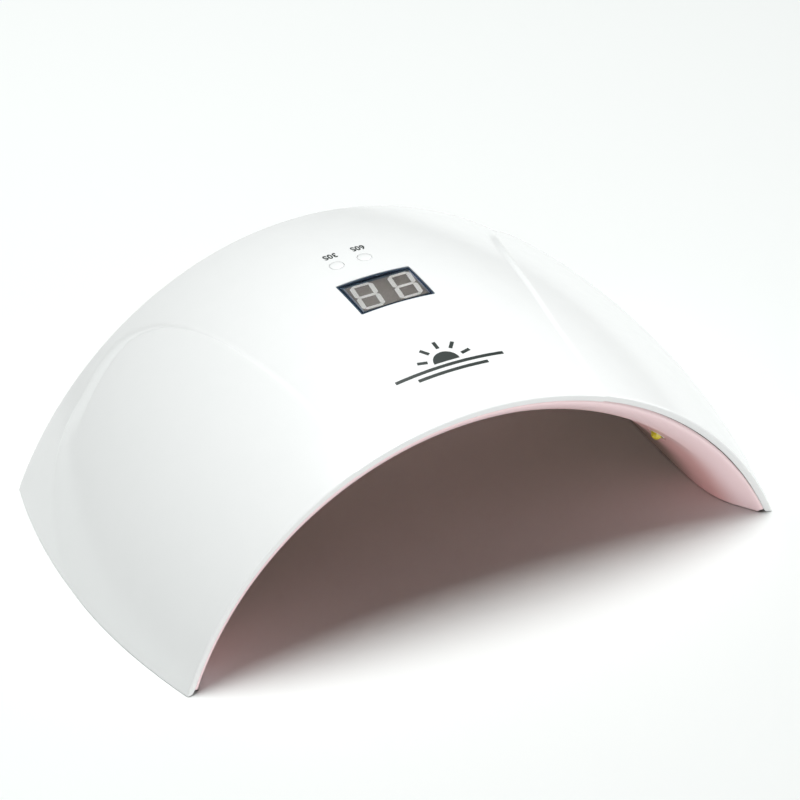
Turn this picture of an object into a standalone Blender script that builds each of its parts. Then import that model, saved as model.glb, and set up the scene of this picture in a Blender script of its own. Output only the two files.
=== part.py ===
"""A table-top UV curing lamp: a white arched cover over a pink inner liner, open at front and rear, on two
lens-shaped feet. Between cover and liner sit three curved LED strips, the control board with its two-digit
display and two timer switches, a presence sensor and the DC socket. The timer buttons press straight down.

Frame: metres, +Z up, X across the arch, -Y the front, origin at the middle of the footprint on the table.
Every dimension below is in millimetres and is turned into metres by MM where a mesh is made."""

import math

import bmesh
import bpy
from mathutils import Matrix, Vector

MM = 0.001

# ---------------------------------------------------------------- overall form
FOOT_DEPTH = 111.3  # front corner to rear corner of a foot
CROWN_SETBACK = 4.8  # the front edge leans back by this at the crown
CROWN_OVERHANG = 9.5  # the rear edge stands behind the foot by this at the crown
HALF_WIDTHS = (94.1, 103.2, 97.2)  # at the front edge, half way and the rear edge
CROWN_HEIGHTS = (63.5, 69.3, 60.7)  # above the lower rim, at the same three places
PAD_HEIGHT = 0.5  # the rubber pads hold the lower rim this far off the table
LEG_STRAIGHTNESS = (-0.075, 0.12, 0.12)  # share of a parabola mixed into the circular arch, there too
COVER_WALL = 2.2
Y_FRONT = -(FOOT_DEPTH + CROWN_OVERHANG) / 2

# ---------------------------------------------------------------- raised side panels
# Along the panel's edge: distance from the crown round the arch, depth from the front, width of its slope.
PANEL_EDGE = (
    (40.0, -3.0, 1.0),
    (39.9, 13.0, 1.0),
    (41.0, 32.0, 1.0),
    (44.8, 55.0, 1.0),
    (47.5, 70.0, 1.3),
    (51.0, 85.0, 2.2),
    (54.8, 95.0, 3.5),
    (60.3, 102.3, 5.6),
    (66.5, 106.2, 7.6),
    (75.4, 105.8, 7.6),
    (84.3, 103.0, 7.2),
    (96.5, 99.8, 9.0),
    (105.6, 95.7, 14.0),
    (113.3, 89.2, 22.0),
    (120.5, 81.0, 28.0),
    (127.5, 71.0, 30.0),
    (132.0, 60.0, 30.0),
    (140.0, 44.0, 30.0),
)
PANEL_RISE_FRONT = 0.3
PANEL_RISE_REAR = 1.3
PANEL_REAR_DEPTH = 105.0
EDGE_STEPS = 6  # points read from the edge curve between two of its own points

# ---------------------------------------------------------------- inner liner
LINER_WALL = 1.8
LINER_INSET = 4.35  # its visible face at the rim, measured in from the cover's outer face
LINER_SETBACK = 0.8  # its edge sits this far behind the cover's edge
LINER_FOOT_HALF_WIDTH = 79.5  # half the clear width between the feet
LINER_FOOT_FLARE = 9.0  # depth in which half of the flare at the feet is gone
LIP_DEPTH = 6.5  # rim to ridge
RIDGE_DROP_FRONT = 4.9
RIDGE_DROP_REAR = 3.0
LINER_CROWN = 47.0  # clear height half way back, above the lower rim
RIDGE_FADE = 14.0

# ---------------------------------------------------------------- display, buttons and control board
GAP = 0.3  # between pieces that touch on the real lamp
WINDOW_SIZE = (23.6, 16.9)
WINDOW_Y = 3.4
BEZEL_WALL = 0.9
BEZEL_DEPTH = 2.6
LENS_DEPTH = 0.8
DISPLAY_FACE = 67.2  # height of the digits' front
DIGIT_PITCH = 10.3
DIGIT_PLATE = 0.5
SEGMENT_RELIEF = 0.15
BUTTON_Y = 22.1
BUTTON_PITCH = 9.0
BUTTON_MIDDLE_X = -1.7
BUTTON_RADIUS = 2.1
BOARD_SIZE = (52.0, 49.0, 1.6)
BOARD_Y = 8.5
BOARD_BOTTOM = 57.4
BOARD_SCREW_X = 21.5
BOARD_SCREW_Y = (-11.0, 28.5)

# ---------------------------------------------------------------- LED strips, sensor and socket
STRIP_DEPTHS = {"front": 0.135, "middle": 0.5, "rear": 0.815}
STRIP_OUT = 3.6  # from the liner's visible face to the strip
STRIP_WIDTH = 8.0
STRIP_THICKNESS = 1.0
STRIP_REACH = 0.8
LED_TURNS = {"far_left": -0.7, "left": -0.35, "centre": 0.0, "right": 0.35, "far_right": 0.7}
LED_HOLE_RADIUS = 3.1
SENSOR_DEPTH = 0.31
SOCKET_SIZE = (9.0, 13.0, 9.0)
SOCKET_REAR = 59.6
SOCKET_TOP = 58.2
SOCKET_BORE = 3.15
LEAD_RADIUS = 0.55

# ---------------------------------------------------------------- feet
PLATE_THICKNESS = 2.0
PLATE_BOTTOM = 1.6
PLATE_TAPER = 1.4  # the cover leans in by this between the foot of its wall and the top of the plate
FOOT_LEAN = 1.17  # a wall at the foot is this much wider measured level than square to itself
FOOT_SCREW_Y = 14.0
FOOT_PAD_Y = 34.0
FOOT_MIDDLE_X = 91.2
FOOT_MIDDLE_Y = Y_FRONT + FOOT_DEPTH / 2
PAD_RADIUS = 5.0

ROUND = 24  # sides of a larger round piece
SMALL_ROUND = 16


def arch(half_width, height, turn, share):
    """(x, z) on an arch, turn running from -1 at the left foot to 1 at the right foot."""
    radius = (half_width**2 + height**2) / (2 * height)
    angle = math.asin(half_width / radius) * turn
    x = radius * math.sin(angle)
    round_z = radius * math.cos(angle) - (radius - height)
    bowed_z = height * (1 - (x / half_width) ** 2)
    bowed = through(LEG_STRAIGHTNESS, share)
    return x, (1 - bowed) * round_z + bowed * bowed_z


def through(values, share):
    """The quadratic that takes three values at 0, a half and 1."""
    front, middle, rear = values
    return (
        front * (share - 0.5) * (share - 1) * 2
        - middle * share * (share - 1) * 4
        + rear * share * (share - 0.5) * 2
    )


def depth_at(share, lift):
    """y at a share of the depth, where lift is 0 at the feet and 1 at the crown."""
    lean = CROWN_SETBACK * (1 - share) + CROWN_OVERHANG * share
    return Y_FRONT + share * FOOT_DEPTH + lean * lift


def between(before, start, end, after, k):
    """The Catmull-Rom value at k of the way from start to end."""
    square = 2 * before - 5 * start + 4 * end - after
    cube = 3 * start - before - 3 * end + after
    return 0.5 * (2 * start + (end - before) * k + square * k**2 + cube * k**3)


def smooth_run(points, steps):
    """A smooth curve through points of any size, with a number of steps to each stretch."""
    ends = [points[0], *points, points[-1]]
    run = []
    for a, b, c, d in zip(ends, ends[1:], ends[2:], ends[3:]):
        for step in range(steps):
            run.append(tuple(between(*values, step / steps) for values in zip(a, b, c, d)))
    run.append(tuple(points[-1]))
    return run


PANEL_POINTS = smooth_run(PANEL_EDGE, EDGE_STEPS)


def panel_rise(round_arch, depth):
    """How far the raised side panel stands out of the plain arch."""
    nearest, inside, width = 1e9, 0.0, 1.0
    for (ax, ay, aw), (bx, by, bw) in zip(PANEL_POINTS, PANEL_POINTS[1:]):
        dx, dy = bx - ax, by - ay
        along = ((round_arch - ax) * dx + (depth - ay) * dy) / (dx * dx + dy * dy)
        along = min(1.0, max(0.0, along))
        away = math.hypot(round_arch - ax - along * dx, depth - ay - along * dy)
        if away < nearest:
            nearest, width = away, aw + along * (bw - aw)
            inside = (round_arch - ax) * dy - (depth - ay) * dx
    if inside <= 0:
        return 0.0
    share_back = min(1.0, max(0.0, depth / PANEL_REAR_DEPTH))
    rise = PANEL_RISE_FRONT + (PANEL_RISE_REAR - PANEL_RISE_FRONT) * share_back**1.5
    return rise * min(1.0, nearest / width)


def plain_skin(turn, share):
    half_width, height = through(HALF_WIDTHS, share), through(CROWN_HEIGHTS, share)
    x, z = arch(half_width, height, turn, share)
    return Vector((x, depth_at(share, z / height), PAD_HEIGHT + z))


def normal_of(surface, turn, share):
    step = 1e-3
    across = surface(turn + step, share) - surface(turn - step, share)
    back = surface(turn, share + step) - surface(turn, share - step)
    return across.cross(back).normalized()


def skin(turn, share, out=0.0):
    """A point of the cover's outer face, moved out along the normal."""
    half_width, height = through(HALF_WIDTHS, share), through(CROWN_HEIGHTS, share)
    radius = (half_width**2 + height**2) / (2 * height)
    round_arch = abs(turn) * radius * math.asin(half_width / radius)
    rise = panel_rise(round_arch, share * FOOT_DEPTH)
    return plain_skin(turn, share) + normal_of(plain_skin, turn, share) * (rise + out)


def fade(distance, half):
    return 1 / (1 + (distance / half) ** 2)


def liner_face(turn, share):
    """A point of the liner's visible face, which lines the tunnel."""
    length = FOOT_DEPTH - 2 * LINER_SETBACK
    from_front, from_rear = share * length, (1 - share) * length
    flare_front = HALF_WIDTHS[0] - LINER_INSET - LINER_FOOT_HALF_WIDTH
    flare_rear = HALF_WIDTHS[2] - LINER_INSET - LINER_FOOT_HALF_WIDTH
    half_width = (
        LINER_FOOT_HALF_WIDTH
        + flare_front * fade(from_front, LINER_FOOT_FLARE)
        + flare_rear * fade(from_rear, LINER_FOOT_FLARE)
    )
    height = LINER_CROWN
    for rim, drop, distance in (
        (CROWN_HEIGHTS[0] - LINER_INSET, RIDGE_DROP_FRONT, from_front),
        (CROWN_HEIGHTS[2] - LINER_INSET, RIDGE_DROP_REAR, from_rear),
    ):
        ridge = rim - drop
        height += (ridge - LINER_CROWN) * fade(max(0.0, distance - LIP_DEPTH), RIDGE_FADE)
        height += drop * max(0.0, 1 - distance / LIP_DEPTH)
    x, z = arch(half_width, height, turn, share)
    cover_share = (LINER_SETBACK + share * length) / FOOT_DEPTH
    return Vector((x, depth_at(cover_share, z / height), PAD_HEIGHT + z))


def liner(turn, share, out=0.0):
    """A point beside the liner's visible face, moved out of the tunnel along the normal."""
    return liner_face(turn, share) + normal_of(liner_face, turn, share) * out


def skin_height(x, y):
    """z of the cover's plain outer face above a point near the crown."""
    low, high = 0.0, 1.0
    for _ in range(40):
        share = (low + high) / 2
        half_width, height = through(HALF_WIDTHS, share), through(CROWN_HEIGHTS, share)
        radius = (half_width**2 + height**2) / (2 * height)
        turn = math.asin(x / radius) / math.asin(half_width / radius)
        point = plain_skin(turn, share)
        if point.y < y:
            low = share
        else:
            high = share
    return point.z


# ---------------------------------------------------------------- scene helpers
def clear_scene():
    for obj in list(bpy.data.objects):
        bpy.data.objects.remove(obj)


def collection(name):
    made = bpy.data.collections.new(name)
    bpy.context.scene.collection.children.link(made)
    return made


def material(name, colour, roughness, metallic=0.0):
    made = bpy.data.materials.new(name)
    made.use_nodes = True
    shader = made.node_tree.nodes["Principled BSDF"]
    shader.inputs["Base Color"].default_value = (*colour, 1.0)
    shader.inputs["Roughness"].default_value = roughness
    shader.inputs["Metallic"].default_value = metallic
    return made


def add(bm, name, finish=None, matrix=None):
    """Makes an object of a bmesh in metres. Without a finish it is a cutter, which isn't part of the lamp."""
    mesh = bpy.data.meshes.new(name)
    bm.normal_update()
    bm.to_mesh(mesh)
    bm.free()
    obj = bpy.data.objects.new(name, mesh)
    if matrix is not None:
        obj.matrix_world = matrix
    if finish is None:
        cutters.objects.link(obj)
        obj.hide_render = True
        obj.display_type = "WIRE"
    else:
        lamp.objects.link(obj)
        mesh.materials.append(finish)
        mesh.shade_smooth()
        mesh.set_sharp_from_angle(angle=math.radians(35))
    return obj


def boolean(obj, tool, operation="DIFFERENCE"):
    cut = obj.modifiers.new(f"{operation.lower()}_{tool.name}", "BOOLEAN")
    cut.operation = operation
    cut.object = tool
    cut.solver = "EXACT"


def solidify(obj, thickness, offset):
    wall = obj.modifiers.new("wall", "SOLIDIFY")
    wall.thickness = thickness * MM
    wall.offset = offset
    wall.use_even_offset = True


def patch(surface, turns, shares):
    """An open sheet on a surface, with a row of points at each turn and share."""
    bm = bmesh.new()
    bmesh.ops.create_grid(bm, x_segments=len(turns) - 1, y_segments=len(shares) - 1, size=1.0)
    for vert in bm.verts:
        column = round((vert.co.x + 1) / 2 * (len(turns) - 1))
        row = round((vert.co.y + 1) / 2 * (len(shares) - 1))
        vert.co = surface(turns[column], shares[row]) * MM
    return bm


def spread(low, high, count):
    return [low + (high - low) * i / (count - 1) for i in range(count)]


def box(bm, size, centre):
    bmesh.ops.create_cube(
        bm,
        size=1.0,
        matrix=Matrix.Translation(Vector(centre) * MM) @ Matrix.Diagonal((*(Vector(size) * MM), 1.0)),
    )


def cylinder(bm, radius, low, high, x=0.0, y=0.0, sides=SMALL_ROUND, top_radius=None):
    """An upright cylinder or cone between two heights."""
    bmesh.ops.create_cone(
        bm,
        cap_ends=True,
        segments=sides,
        radius1=radius * MM,
        radius2=(radius if top_radius is None else top_radius) * MM,
        depth=(high - low) * MM,
        matrix=Matrix.Translation(Vector((x, y, (low + high) / 2)) * MM),
    )


def turned(name, profile, finish, matrix, sides=SMALL_ROUND):
    """A piece turned about its own Z axis. The profile runs down its outer side, from axis to axis."""
    mesh = bpy.data.meshes.new(name)
    bm = bmesh.new()
    points = [bm.verts.new(Vector((radius, 0.0, height)) * MM) for radius, height in profile]
    for a, b in zip(points, points[1:]):
        bm.edges.new((a, b))
    bm.to_mesh(mesh)
    bm.free()
    obj = bpy.data.objects.new(name, mesh)
    obj.matrix_world = matrix
    lamp.objects.link(obj)
    mesh.materials.append(finish)
    screw = obj.modifiers.new("turn", "SCREW")
    screw.steps = sides
    screw.render_steps = sides
    screw.use_merge_vertices = True
    screw.merge_threshold = 0.00001
    screw.use_smooth_shade = True
    return obj


def upright(x, y, z=0.0):
    return Matrix.Translation(Vector((x, y, z)) * MM)


def facing(surface, turn, share, out=0.0):
    """A frame on a surface: +Z into the tunnel along the normal, +X along the strip."""
    normal = normal_of(surface, turn, share)
    origin = (surface(turn, share) + normal * out) * MM
    down = -normal
    along = (surface(turn + 0.01, share) - surface(turn - 0.01, share)).normalized()
    side = down.cross(along).normalized()
    along = side.cross(down)
    frame = Matrix((along, side, down)).transposed().to_4x4()
    frame.translation = origin
    return frame


# ---------------------------------------------------------------- cover
def cover_volume():
    """A solid block that fills the arch to the middle of the cover's wall. It trims the screw bosses."""
    middle_of_wall = lambda turn, share: skin(turn, share, -COVER_WALL / 2)
    bm = patch(middle_of_wall, spread(-0.995, 0.995, 41), spread(0.01, 0.99, 17))
    down = bmesh.ops.extrude_face_region(bm, geom=bm.faces[:])["geom"]
    for vert in down:
        if isinstance(vert, bmesh.types.BMVert):
            vert.co.z = -5 * MM
    bmesh.ops.recalc_face_normals(bm, faces=bm.faces[:])
    return add(bm, "cover_volume")


def screw_places():
    board = [(side * BOARD_SCREW_X, y) for side in (-1, 1) for y in BOARD_SCREW_Y]
    feet = [(side * FOOT_MIDDLE_X, FOOT_MIDDLE_Y + way * FOOT_SCREW_Y) for side in (-1, 1) for way in (-1, 1)]
    return board, feet


def cover_bosses():
    bm = bmesh.new()
    board, feet = screw_places()
    for x, y in board:
        cylinder(bm, 2.9, BOARD_BOTTOM + BOARD_SIZE[2] + GAP, 80.0, x, y)
    for x, y in feet:
        cylinder(bm, 3.4, PLATE_BOTTOM + PLATE_THICKNESS + GAP, 40.0, x, y)
    bosses = add(bm, "cover_bosses")
    boolean(bosses, cover_volume(), "INTERSECT")
    return bosses


def cover_openings():
    """Window, button holes and the blind pilot holes of the bosses."""
    bm = bmesh.new()
    width, depth = WINDOW_SIZE
    box(bm, (width, depth, 12.0), (0.0, WINDOW_Y, 68.0))
    for side in (-1, 1):
        x = BUTTON_MIDDLE_X + side * BUTTON_PITCH / 2
        cylinder(bm, BUTTON_RADIUS + GAP, 60.0, 76.0, x, BUTTON_Y, ROUND)
    board, feet = screw_places()
    for x, y in board:
        cylinder(bm, 1.4, BOARD_BOTTOM, BOARD_BOTTOM + 5.7, x, y)
    for x, y in feet:
        cylinder(bm, 1.7, PLATE_BOTTOM, PLATE_BOTTOM + 11.0, x, y)
    return add(bm, "cover_openings")


def below_rim(name):
    """A slab that levels the lower edge of a wall."""
    bm = bmesh.new()
    box(bm, (240.0, 160.0, 8.0), (0.0, 0.0, PAD_HEIGHT + 0.05 - 4.0))
    return add(bm, name)


def outer_cover():
    cover = add(patch(skin, spread(-1.0, 1.0, 41), spread(0.0, 1.0, 17)), "outer_cover", white)
    solidify(cover, COVER_WALL, -1)
    boolean(cover, below_rim("below_cover"))
    boolean(cover, cover_bosses(), "UNION")
    boolean(cover, cover_openings())


# ---------------------------------------------------------------- liner
def liner_shares():
    """Rows close together over the two lips, one of them exactly on each ridge."""
    ridge = LIP_DEPTH / (FOOT_DEPTH - 2 * LINER_SETBACK)
    near = [0.0, ridge / 2, ridge, ridge * 1.7, ridge * 2.7, 0.22, 0.32]
    return near + [0.5] + [1 - share for share in reversed(near)]


def socket_housing():
    """The box under the crown at the rear that holds the DC socket."""
    bm = bmesh.new()
    width, length, height = SOCKET_SIZE
    low = SOCKET_TOP - height - GAP - LINER_WALL
    box(
        bm,
        (width + 2 * (GAP + LINER_WALL), length + 2.2, SOCKET_TOP - 2.6 - low),
        (0.0, SOCKET_REAR - 0.4 - (length + 2.2) / 2, (low + SOCKET_TOP - 2.6) / 2),
    )
    return add(bm, "socket_housing")


def liner_openings():
    bm = bmesh.new()
    width, length, height = SOCKET_SIZE
    box(
        bm,
        (width + 2 * GAP, length + 2 * GAP + 3, height + 2 * GAP + 6),
        (
            0.0,
            SOCKET_REAR - length - GAP + (length + 2 * GAP + 3) / 2,
            SOCKET_TOP - height - GAP + (height + 6 + 2 * GAP) / 2,
        ),
    )
    openings = add(bm, "socket_cut_out")
    return openings


def round_cutter(name, places, radius, sides):
    bm = bmesh.new()
    for frame in places:
        bmesh.ops.create_cone(
            bm,
            cap_ends=True,
            segments=sides,
            radius1=radius * MM,
            radius2=radius * MM,
            depth=16 * MM,
            matrix=frame,
        )
    return add(bm, name)


def led_frames():
    return {
        f"{row}_{column}": facing(liner_face, turn, share)
        for row, share in STRIP_DEPTHS.items()
        for column, turn in LED_TURNS.items()
    }


def inner_liner():
    lining = add(patch(liner_face, spread(-1.0, 1.0, 37), liner_shares()), "inner_liner", pink)
    solidify(lining, LINER_WALL, 1)
    boolean(lining, below_rim("below_liner"))
    boolean(lining, socket_housing(), "UNION")
    boolean(lining, liner_openings())
    boolean(lining, round_cutter("led_holes", led_frames().values(), LED_HOLE_RADIUS, SMALL_ROUND))
    boolean(lining, round_cutter("sensor_hole", [facing(liner_face, 0.0, SENSOR_DEPTH)], 2.9, SMALL_ROUND))


# ---------------------------------------------------------------- feet
def foot_plate(name, side):
    """The lens-shaped plate that closes a foot from below."""
    rows = spread(0.08, 0.92, 15)

    def across(turn, share):
        near = liner_face(1.0, share).x + (LINER_WALL + GAP) * FOOT_LEAN
        far = plain_skin(1.0, share).x - (COVER_WALL + GAP) * FOOT_LEAN - PLATE_TAPER
        middle, half = (near + far) / 2, (far - near) / 2
        return Vector((side * middle + turn * half, depth_at(share, 0.0), PLATE_BOTTOM))

    plate = add(patch(across, spread(-1.0, 1.0, 3), rows), name, pink)
    solidify(plate, PLATE_THICKNESS, 1)
    bm = bmesh.new()
    for x, y in screw_places()[1]:
        if x * side > 0:
            cylinder(bm, 3.1, PLATE_BOTTOM - 1, PLATE_BOTTOM + 1, x, y)
            cylinder(bm, 1.7, PLATE_BOTTOM + 0.9, PLATE_BOTTOM + 4, x, y)
    boolean(plate, add(bm, f"{name}_holes"))


def foot_pads():
    for side, across in ((-1, "left"), (1, "right")):
        for way, along in ((-1, "front"), (1, "rear")):
            turned(
                f"foot_pad_{along}_{across}",
                [
                    (0, PLATE_BOTTOM - GAP),
                    (PAD_RADIUS, PLATE_BOTTOM - GAP),
                    (PAD_RADIUS, 0.5),
                    (PAD_RADIUS - 0.5, 0),
                    (0, 0),
                ],
                rubber,
                upright(side * FOOT_MIDDLE_X, FOOT_MIDDLE_Y + way * FOOT_PAD_Y),
                ROUND,
            )


def screw(name, x, y, seat, head_radius, shank_radius, length):
    """A pan-head screw put in from below; seat is the height of the face that its head bears on."""
    turned(
        name,
        [
            (0, seat + length),
            (shank_radius * 0.4, seat + length),
            (shank_radius, seat + length - 1.2),
            (shank_radius, seat - GAP),
            (head_radius, seat - GAP),
            (head_radius, seat - GAP - 0.7),
            (head_radius * 0.6, seat - GAP - 1.1),
            (0, seat - GAP - 1.1),
        ],
        steel,
        upright(x, y),
        12,
    )


def screws():
    board, feet = screw_places()
    names = ("front_left", "rear_left", "front_right", "rear_right")
    for name, (x, y) in zip(names, board):
        screw(f"board_screw_{name}", x, y, BOARD_BOTTOM, 2.3, 1.05, 5.2)
    for name, (x, y) in zip(names, feet):
        screw(f"foot_screw_{name}", x, y, PLATE_BOTTOM + 1.0 + GAP, 2.7, 1.3, 9.0)


# ---------------------------------------------------------------- display
def display():
    """A frame that follows the cover's outer face, a flat lens sunk in it, and the display below the lens."""
    half_width, half_depth = (size / 2 - GAP for size in WINDOW_SIZE)

    def face(turn, share):
        x, y = turn * half_width, WINDOW_Y + share * half_depth
        return Vector((x, y, skin_height(x, y) - 0.1))

    bezel = add(patch(face, spread(-1.0, 1.0, 9), spread(-1.0, 1.0, 3)), "display_bezel", navy)
    solidify(bezel, BEZEL_DEPTH, -1)
    inner_width, inner_depth = half_width - BEZEL_WALL, half_depth - BEZEL_WALL
    bm = bmesh.new()
    box(bm, (2 * inner_width, 2 * inner_depth, 12.0), (0.0, WINDOW_Y, DISPLAY_FACE))
    boolean(bezel, add(bm, "bezel_opening"))
    bm = bmesh.new()
    lens = (2 * (inner_width - GAP), 2 * (inner_depth - GAP), LENS_DEPTH)
    box(bm, lens, (0.0, WINDOW_Y, DISPLAY_FACE + GAP + LENS_DEPTH / 2))
    add(bm, "display_window", smoke)

    plate_bottom = DISPLAY_FACE - SEGMENT_RELIEF - DIGIT_PLATE
    bottom, top = BOARD_BOTTOM + BOARD_SIZE[2] + GAP, plate_bottom - GAP
    bm = bmesh.new()
    box(bm, (DIGIT_PITCH * 2, 14.2, top - bottom), (0.0, WINDOW_Y, (top + bottom) / 2))
    add(bm, "display_body", charcoal)
    for name, side in (("digit_tens", -1), ("digit_units", 1)):
        digit(name, side * DIGIT_PITCH / 2, plate_bottom)


def digit(name, x, bottom):
    """A digit's front plate with its seven segments standing out of it by a hair, leaning to the right."""
    width, height, stroke, lean = 6.8, 12.4, 1.3, math.tan(math.radians(6))
    bm = bmesh.new()
    box(bm, (DIGIT_PITCH - GAP, 13.6, DIGIT_PLATE), (x, WINDOW_Y, bottom + DIGIT_PLATE / 2))
    base = add(bm, name, grey)
    middle = bottom + DIGIT_PLATE / 2 + SEGMENT_RELIEF
    half_width, half_height = (width - stroke) / 2, (height - stroke) / 2
    bm = bmesh.new()
    for row in (-1, 0, 1):
        box(bm, (width - 2 * stroke - 0.3, stroke, DIGIT_PLATE), (x, WINDOW_Y + row * half_height, middle))
    for side in (-1, 1):
        for row in (-1, 1):
            along = half_height - 0.6
            place = (x + side * half_width, WINDOW_Y + row * half_height / 2, middle)
            box(bm, (stroke, along, DIGIT_PLATE), place)
    for vert in bm.verts:
        vert.co.x += (vert.co.y - WINDOW_Y * MM) * lean
    boolean(base, add(bm, f"{name}_segments"), "UNION")


# ---------------------------------------------------------------- buttons, switches and board
def button_and_switch(name, side):
    x = BUTTON_MIDDLE_X + side * BUTTON_PITCH / 2
    board_top = BOARD_BOTTOM + BOARD_SIZE[2]
    switch_top = board_top + GAP + 1.9
    plunger_top = switch_top + 1.0
    flange_top = skin_height(x, BUTTON_Y + BUTTON_RADIUS + 1) - COVER_WALL - 0.7
    surface = skin_height(x, BUTTON_Y)
    cap = turned(
        f"button_{name}",
        [
            (0, surface + 0.3),
            (BUTTON_RADIUS, surface + 0.3),
            (BUTTON_RADIUS, flange_top),
            (BUTTON_RADIUS + 0.8, flange_top),
            (BUTTON_RADIUS + 0.8, flange_top - 0.9),
            (1.4, flange_top - 0.9),
            (1.4, plunger_top + GAP),
            (0, plunger_top + GAP),
        ],
        white,
        upright(x, BUTTON_Y),
        ROUND,
    )
    trim = bmesh.new()
    box(trim, (8.0, 8.0, 4.0), (0.0, 0.0, 2.0))
    slope = skin_height(x, BUTTON_Y + 1) - surface
    side_slope = skin_height(x + 1, BUTTON_Y) - surface
    level = Vector((-side_slope, -slope, 1.0)).normalized().to_track_quat("Z", "Y").to_matrix().to_4x4()
    boolean(cap, add(trim, f"button_{name}_trim", matrix=upright(x, BUTTON_Y, surface + 0.25) @ level))

    bm = bmesh.new()
    box(bm, (6.0, 6.0, 1.9), (x, BUTTON_Y, board_top + GAP + 0.95))
    body = add(bm, f"switch_{name}", charcoal)
    bm = bmesh.new()
    cylinder(bm, 1.7, board_top + 0.9, switch_top + 1, x, BUTTON_Y)
    boolean(body, add(bm, f"switch_{name}_well"))
    turned(
        f"plunger_{name}",
        [
            (0, plunger_top),
            (1.2, plunger_top),
            (1.35, plunger_top - 0.15),
            (1.35, board_top + 1.5),
            (0, board_top + 1.5),
        ],
        rubber,
        upright(x, BUTTON_Y),
    )


def control_board():
    width, depth, thickness = BOARD_SIZE
    bm = bmesh.new()
    box(bm, (width, depth, thickness), (0.0, BOARD_Y, BOARD_BOTTOM + thickness / 2))
    board = add(bm, "control_board", green)
    bm = bmesh.new()
    for x, y in screw_places()[0]:
        cylinder(bm, 1.4, BOARD_BOTTOM - 1, BOARD_BOTTOM + thickness + 1, x, y)
    boolean(board, add(bm, "board_holes"))
    top = BOARD_BOTTOM + thickness + GAP
    bm = bmesh.new()
    box(bm, (5.0, 5.0, 1.4), (17.0, 16.0, top + 0.7))
    add(bm, "timer_chip", black)
    coil = [(0, top + 3.4), (3.4, top + 3.4), (3.8, top + 3.0), (3.8, top), (0, top)]
    turned("driver_coil", coil, charcoal, upright(-17.5, 16.0), ROUND)
    capacitor = [(0, top + 3.6), (2.2, top + 3.6), (2.5, top + 3.3), (2.5, top), (0, top)]
    turned("capacitor", capacitor, can, upright(-17.5, 5.0), ROUND)


# ---------------------------------------------------------------- LED strips and sensor
def led_strips():
    length = FOOT_DEPTH - 2 * LINER_SETBACK
    for row, share in STRIP_DEPTHS.items():
        half = STRIP_WIDTH / 2 / length

        def face(turn, along):
            return liner(turn, along, STRIP_OUT)

        strip = add(
            patch(face, spread(-STRIP_REACH, STRIP_REACH, 29), [share - half, share, share + half]),
            f"led_strip_{row}",
            strip_white,
        )
        solidify(strip, STRIP_THICKNESS, 1)


def leds():
    """Each LED: a round base behind the liner and a dome that looks through its hole."""
    base_back, base_front, dome = -(STRIP_OUT - GAP), -(LINER_WALL + GAP), 2.7
    for name, frame in led_frames().items():
        turns = [math.radians(k) for k in (90, 60, 30, 0)]
        arc = [(dome * math.cos(a), 0.2 + 1.6 * math.sin(a)) for a in turns]
        arc[0] = (0.0, arc[0][1])
        turned(
            f"led_{name}",
            [*arc, (dome, base_front), (3.6, base_front), (3.6, base_back), (0, base_back)],
            yellow,
            frame,
            12,
        )


def presence_sensor():
    frame = facing(liner_face, 0.0, SENSOR_DEPTH)
    turned("sensor_window", [(0, 0.1), (2.3, 0.1), (2.5, -0.1), (2.5, -2.6), (0, -2.6)], smoke, frame)
    bm = bmesh.new()
    box(bm, (7.0, 7.0, 3.6), (0.0, 0.0, -2.9 - 1.8))
    add(bm, "sensor_module", charcoal, frame)


# ---------------------------------------------------------------- DC socket and leads
def dc_socket():
    width, length, height = SOCKET_SIZE
    middle = SOCKET_TOP - height / 2
    bm = bmesh.new()
    box(bm, SOCKET_SIZE, (0.0, SOCKET_REAR - length / 2, middle))
    body = add(bm, "dc_socket", black)
    lying = Matrix.Rotation(math.radians(-90), 4, "X")
    bm = bmesh.new()
    cylinder(bm, SOCKET_BORE, -9.5, 5.0, sides=ROUND)
    boolean(body, add(bm, "socket_bore", matrix=upright(0.0, SOCKET_REAR, middle) @ lying))
    turned(
        "dc_socket_pin",
        [(0, -0.8), (0.6, -0.8), (1.0, -1.4), (1.0, -9.5 + GAP), (0, -9.5 + GAP)],
        steel,
        upright(0.0, SOCKET_REAR, middle) @ lying,
        12,
    )


def above_strip(row, turn):
    """Where a lead ends, just above the outer side of an LED strip."""
    return liner(turn, STRIP_DEPTHS[row], STRIP_OUT + STRIP_THICKNESS + LEAD_RADIUS + GAP)


def lead(name, points, finish):
    """A thin wire along a smooth curve through a few points."""
    route = smooth_run(points, 4)
    curve = bpy.data.curves.new(name, "CURVE")
    curve.dimensions = "3D"
    curve.bevel_depth = LEAD_RADIUS * MM
    curve.bevel_resolution = 1
    curve.use_fill_caps = True
    spline = curve.splines.new("POLY")
    spline.points.add(len(route) - 1)
    for point, place in zip(spline.points, route):
        point.co = (*(Vector(place) * MM), 1.0)
    curve.materials.append(finish)
    lamp.objects.link(bpy.data.objects.new(name, curve))


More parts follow.
